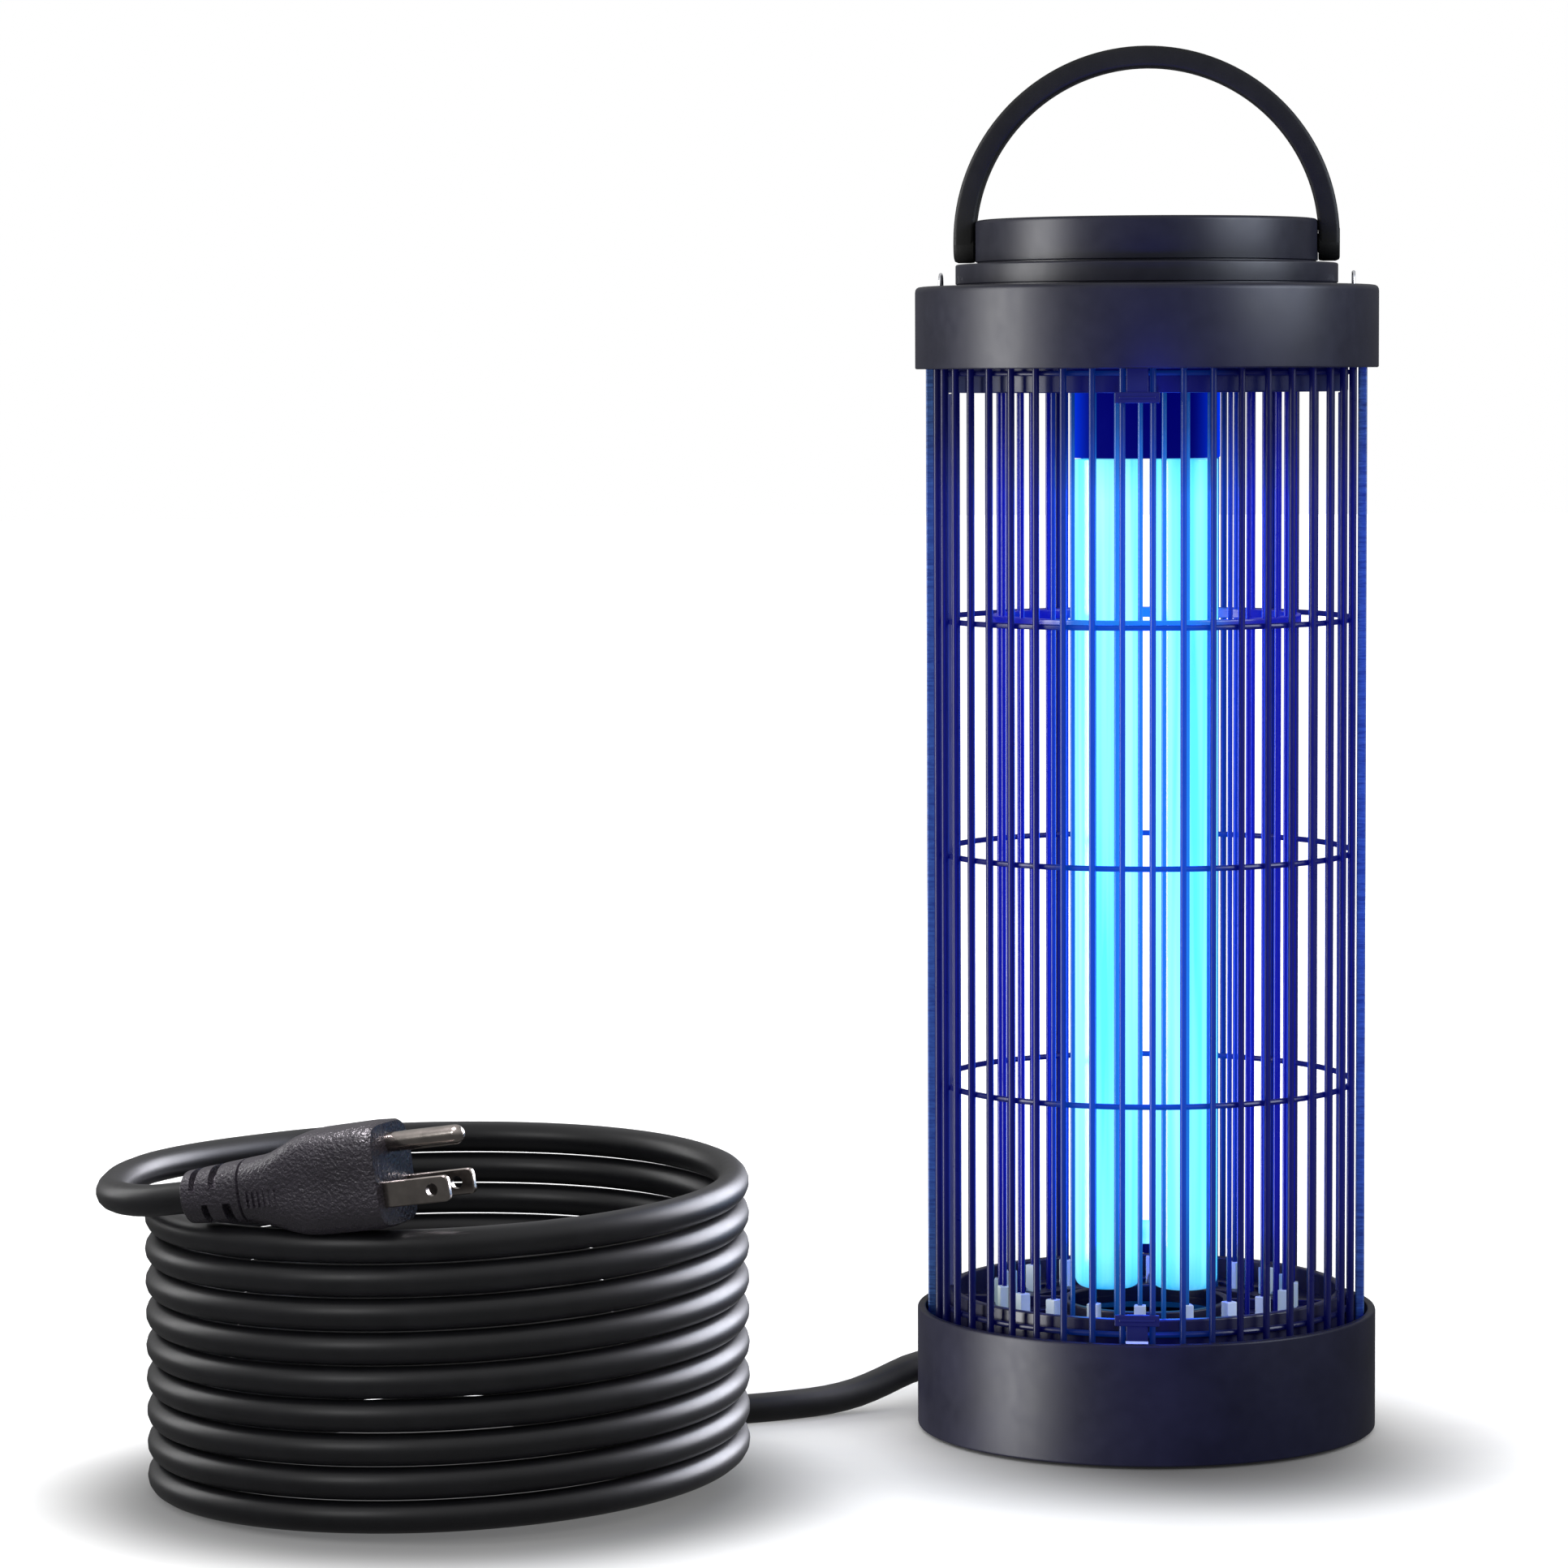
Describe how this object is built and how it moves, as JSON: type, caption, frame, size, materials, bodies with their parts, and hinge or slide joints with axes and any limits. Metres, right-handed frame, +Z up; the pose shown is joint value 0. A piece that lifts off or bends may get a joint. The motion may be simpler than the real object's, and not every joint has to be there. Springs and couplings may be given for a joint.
{
  "type": "electric bug zapper",
  "caption": "Round upright bug zapper: barred cage round a rod grid and a twin-tube lamp, with a base tray, a folding handle and a coiled mains cord.",
  "frame": {"origin": "on the floor under the middle of the round base", "axes": "+Z up along the cage, -Y towards the front latches, +X towards the right post"},
  "size_m": [0.321, 0.2355, 0.3663],
  "materials": {
    "black_plastic": "satin moulded ABS, near black",
    "handle_plastic": "fine-grained moulded plastic",
    "cage_wire": "charcoal powder coat",
    "grid_metal": "dark satin",
    "holder_plastic": "dark blue, semi-gloss",
    "sleeve_plastic": "white ceramic-filled insulator",
    "lamp_glass": "phosphor-coated tube, lit",
    "steel": "bright spring steel",
    "nickel": "nickel plate",
    "cord_pvc": "smooth PVC jacket",
    "plug_pvc": "finely textured moulded PVC",
    "foot_rubber": "matt",
    "board": "solder-masked board",
    "component": "grey lacquer"
  },
  "bodies": {
    "housing": {"base_shell": "black_plastic", "base_plate": "black_plastic", "foot_front_right": "foot_rubber", "foot_back_right": "foot_rubber", "foot_back_left": "foot_rubber", "foot_front_left": "foot_rubber", "base_deck": "black_plastic", "terminal_block": "sleeve_plastic", "fuse_holder": "black_plastic", "cage_front": "cage_wire", "cage_rear": "cage_wire", "cage_wire_base": "cage_wire", "cage_wire_low": "cage_wire", "cage_wire_middle": "cage_wire", "cage_wire_high": "cage_wire", "post_right": "cage_wire", "post_left": "cage_wire", "wire_duct_right": "cage_wire", "wire_duct_left": "cage_wire", "latch_strip_front": "steel", "latch_strip_rear": "steel", "grid_live": "grid_metal", "grid_neutral": "grid_metal", "sleeve_ring": "sleeve_plastic", "grid_spacer": "black_plastic", "lamp_holder": "holder_plastic", "head_plate": "black_plastic", "top_cap": "black_plastic", "collar": "black_plastic", "top_lid": "black_plastic", "ballast": "component", "transformer": "component", "capacitor": "holder_plastic", "circuit_board": "board", "hanging_eye_right": "steel", "hanging_eye_left": "steel", "cord_gland": "plug_pvc", "cord_run": "cord_pvc", "cord_coil": "cord_pvc", "cord_tail": "cord_pvc", "plug_body": "plug_pvc", "plug_blade_left": "nickel", "plug_blade_right": "nickel", "plug_earth_pin": "nickel"},
    "tray": {"collection_tray": "black_plastic"},
    "lamp": {"lamp_tube": "lamp_glass", "lamp_base": "holder_plastic"},
    "handle": {"handle": "handle_plastic", "pivot_clip_right": "steel", "pivot_clip_left": "steel"},
    "front_base_clip": {"clip_front_base": "black_plastic"},
    "front_top_clip": {"clip_front_top": "black_plastic"},
    "rear_base_clip": {"clip_rear_base": "black_plastic"},
    "rear_top_clip": {"clip_rear_top": "black_plastic"}
  },
  "joints": [
    {"name": "handle_fold", "type": "hinge", "parent": "housing", "child": "handle", "pos_m": [0, 0, 0.3146], "axis": [1, 0, 0], "range_deg": [-90, 90]},
    {"name": "tray_drop", "type": "slide", "parent": "housing", "child": "tray", "axis": [0, 0, -1], "range_m": [0, 0.03]},
    {"name": "lamp_pull", "type": "slide", "parent": "housing", "child": "lamp", "axis": [0, 0, -1], "range_m": [0, 0.02]},
    {"name": "front_base_clip_flex", "type": "hinge", "parent": "housing", "child": "front_base_clip", "pos_m": [0, -0.0574, 0.026], "axis": [1, 0, 0], "range_deg": [0, 6], "stiffness_Nm_per_rad": 0.02},
    {"name": "front_top_clip_flex", "type": "hinge", "parent": "housing", "child": "front_top_clip", "pos_m": [0, -0.0574, 0.2867], "axis": [-1, 0, 0], "range_deg": [0, 6], "stiffness_Nm_per_rad": 0.02},
    {"name": "rear_base_clip_flex", "type": "hinge", "parent": "housing", "child": "rear_base_clip", "pos_m": [0, 0.0574, 0.026], "axis": [-1, 0, 0], "range_deg": [0, 6], "stiffness_Nm_per_rad": 0.02},
    {"name": "rear_top_clip_flex", "type": "hinge", "parent": "housing", "child": "rear_top_clip", "pos_m": [0, 0.0574, 0.2867], "axis": [1, 0, 0], "range_deg": [0, 6], "stiffness_Nm_per_rad": 0.02}
  ]
}
